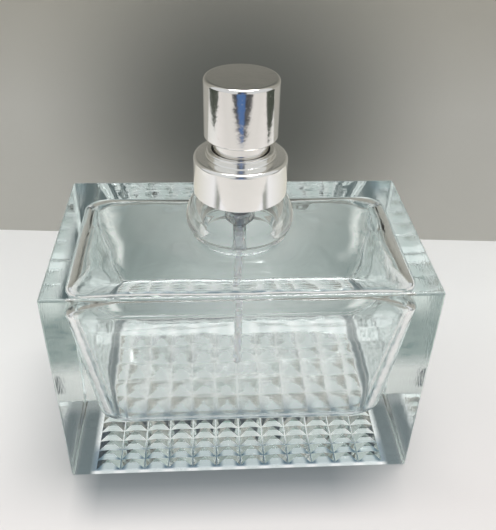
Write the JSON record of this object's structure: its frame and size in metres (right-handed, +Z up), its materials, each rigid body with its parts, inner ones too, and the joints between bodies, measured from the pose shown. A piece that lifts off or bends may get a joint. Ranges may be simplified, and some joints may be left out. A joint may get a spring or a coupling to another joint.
{
  "type": "aftershave spray bottle",
  "caption": "Rectangular thick-walled clear glass spray bottle with a diamond-relief base, polished collar and push-button fine-mist pump.",
  "frame": {"origin": "centre of the underside of the glass block, on the surface it stands on", "axes": "+Z up along the neck and the pump, -Y is the broad front face, +Y is the side the nozzle sprays towards, +X to the right of the front face"},
  "size_m": [0.075, 0.0438, 0.0829],
  "materials": {
    "clear_glass": "fire-polished clear flint glass with a pale green-grey tint",
    "polished_metal": "bright polished, clear-coated aluminium",
    "ferrule_aluminium": "bright drawn aluminium",
    "white_plastic": "white moulded polypropylene",
    "natural_plastic": "natural translucent polypropylene",
    "piston_plastic": "soft polyethylene",
    "gasket_foam": "soft white sealing foam",
    "black_rubber": "matt nitrile rubber",
    "spring_steel": "bright stainless spring wire and ball"
  },
  "bodies": {
    "bottle": {"glass_bottle": "clear_glass", "neck_gasket": "gasket_foam", "crimp_ferrule": "ferrule_aluminium", "collar_sleeve": "white_plastic", "collar_shell": "polished_metal", "pump_housing": "natural_plastic", "turret": "white_plastic", "stem_gasket": "black_rubber", "dip_tube": "natural_plastic", "return_spring": "spring_steel"},
    "inlet_valve": {"inlet_ball": "spring_steel"},
    "stem_group": {"stem": "white_plastic", "valve_rod": "white_plastic", "priming_spring": "spring_steel"},
    "piston_group": {"piston": "piston_plastic"},
    "button": {"actuator_core": "white_plastic", "actuator_shell": "polished_metal", "nozzle_insert": "white_plastic"}
  },
  "joints": [
    {"name": "press", "type": "slide", "parent": "bottle", "child": "stem_group", "axis": [0, 0, -1], "range_m": [0, 0.0021], "stiffness_N_per_m": 600, "springref_m": -0.006, "deforming": ["return_spring"]},
    {"name": "button_turn", "type": "hinge", "parent": "stem_group", "child": "button", "pos_m": [0, 0, 0.0714], "axis": [0, 0, 1], "continuous": true},
    {"name": "piston_lift", "type": "slide", "parent": "stem_group", "child": "piston_group", "axis": [0, 0, 1], "range_m": [0, 0.0004], "stiffness_N_per_m": 200, "springref_m": -0.002, "deforming": ["priming_spring"]},
    {"name": "ball_lift", "type": "slide", "parent": "bottle", "child": "inlet_valve", "axis": [0, 0, 1], "range_m": [0, 0.0003]}
  ]
}
